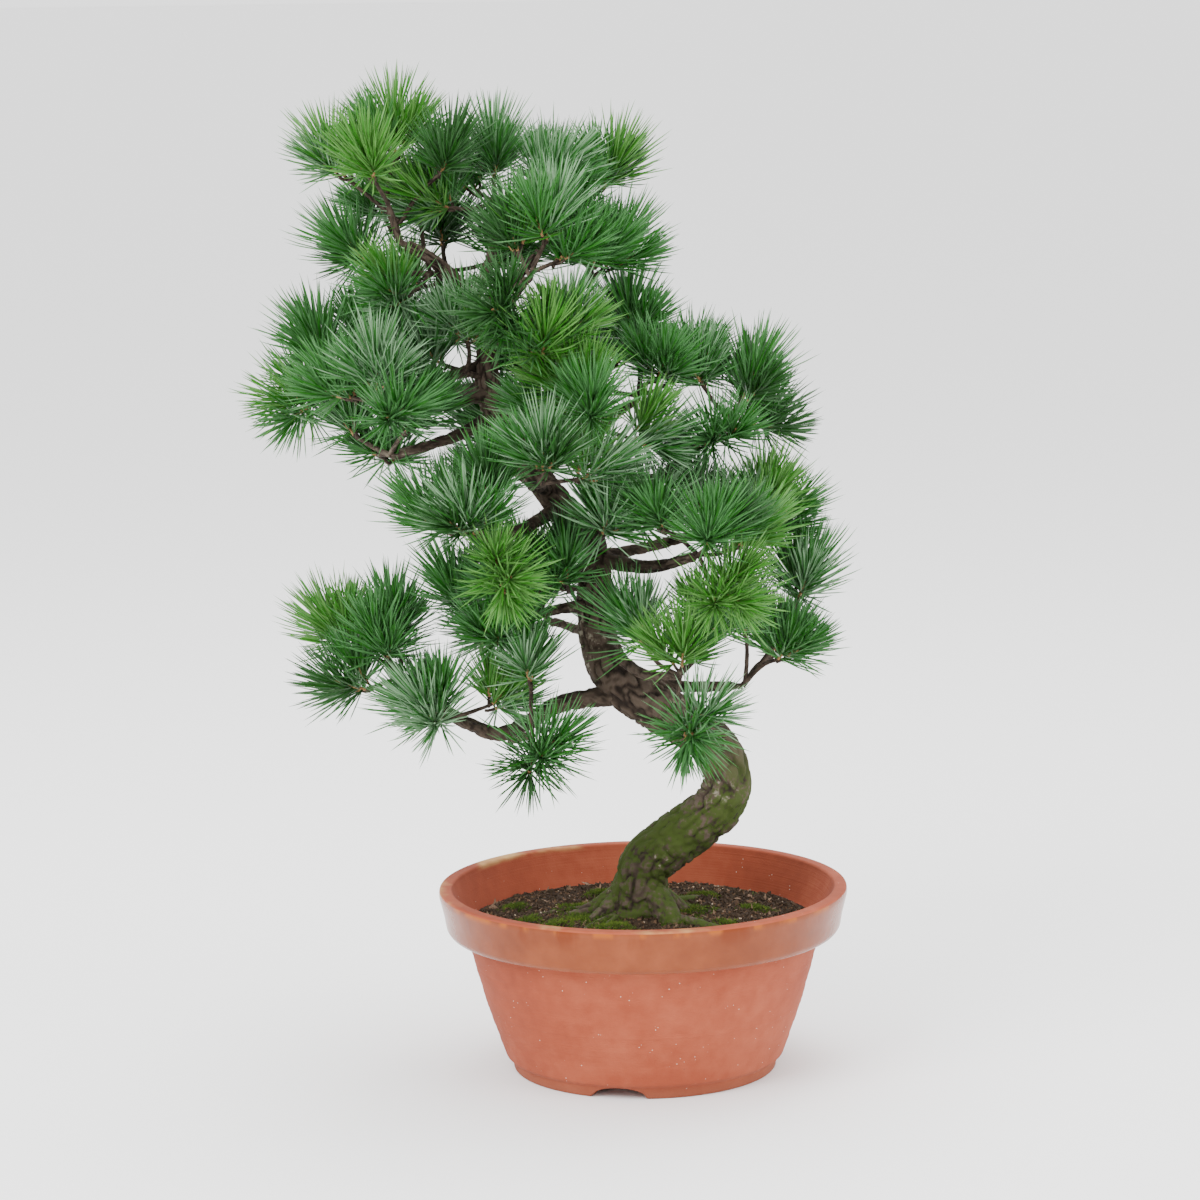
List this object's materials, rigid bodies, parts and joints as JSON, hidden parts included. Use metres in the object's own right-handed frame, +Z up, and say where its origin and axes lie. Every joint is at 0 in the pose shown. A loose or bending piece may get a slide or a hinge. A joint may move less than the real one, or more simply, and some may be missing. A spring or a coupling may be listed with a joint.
{
  "type": "potted bonsai pine tree",
  "caption": "Small trained pine with an S-shaped trunk, spreading boughs and tufts of long needles, in a round shallow clay training pot with a glazed band.",
  "frame": {"origin": "on the floor, under the middle of the whole plant's bounding box; the pot's axis stands 67 mm to the right of it and 3.5 mm behind it", "axes": "+Z up along the plant, +X to the viewer's right, -Y towards the viewer of the picture"},
  "size_m": [0.4684, 0.3507, 0.7527],
  "materials": {
    "terracotta": "matte fired clay, with a glossy brown glazed band under the rim",
    "potting_soil": "rough, matte",
    "bark": "rough bark, matte",
    "needles": "satin"
  },
  "bodies": {
    "root": {"bough_back_left": "bark", "bough_back_low": "bark", "bough_back_mid": "bark", "bough_back_top": "bark", "bough_back_upper": "bark", "bough_front_mid": "bark", "bough_leader": "bark", "bough_left": "bark", "bough_left_back": "bark", "bough_left_front": "bark", "bough_low_left": "bark", "bough_low_left_fork": "bark", "bough_low_left_spur": "bark", "bough_low_mid_left": "bark", "bough_low_right": "bark", "bough_low_right_front": "bark", "bough_mid_left": "bark", "bough_mid_right": "bark", "bough_mid_right_back": "bark", "bough_right_front": "bark", "bough_right_top": "bark", "bough_right_upper": "bark", "bough_top_front": "bark", "bough_top_right": "bark", "bough_upper_fork": "bark", "bough_upper_right": "bark", "needles_back_left": "needles", "needles_back_low": "needles", "needles_back_mid": "needles", "needles_back_top": "needles", "needles_back_upper": "needles", "needles_front_mid": "needles", "needles_leader": "needles", "needles_left": "needles", "needles_left_back": "needles", "needles_left_front": "needles", "needles_low_left": "needles", "needles_low_left_fork": "needles", "needles_low_left_spur": "needles", "needles_low_mid_left": "needles", "needles_low_right": "needles", "needles_low_right_front": "needles", "needles_mid_left": "needles", "needles_mid_right": "needles", "needles_mid_right_back": "needles", "needles_right_front": "needles", "needles_right_top": "needles", "needles_right_upper": "needles", "needles_top_front": "needles", "needles_top_left": "needles", "needles_top_left_low": "needles", "needles_top_right": "needles", "needles_trunk_front": "needles", "needles_trunk_left": "needles", "needles_upper_fork": "needles", "needles_upper_left": "needles", "needles_upper_right": "needles", "pot": "terracotta", "soil": "potting_soil", "trunk": "bark"}
  },
  "joints": []
}
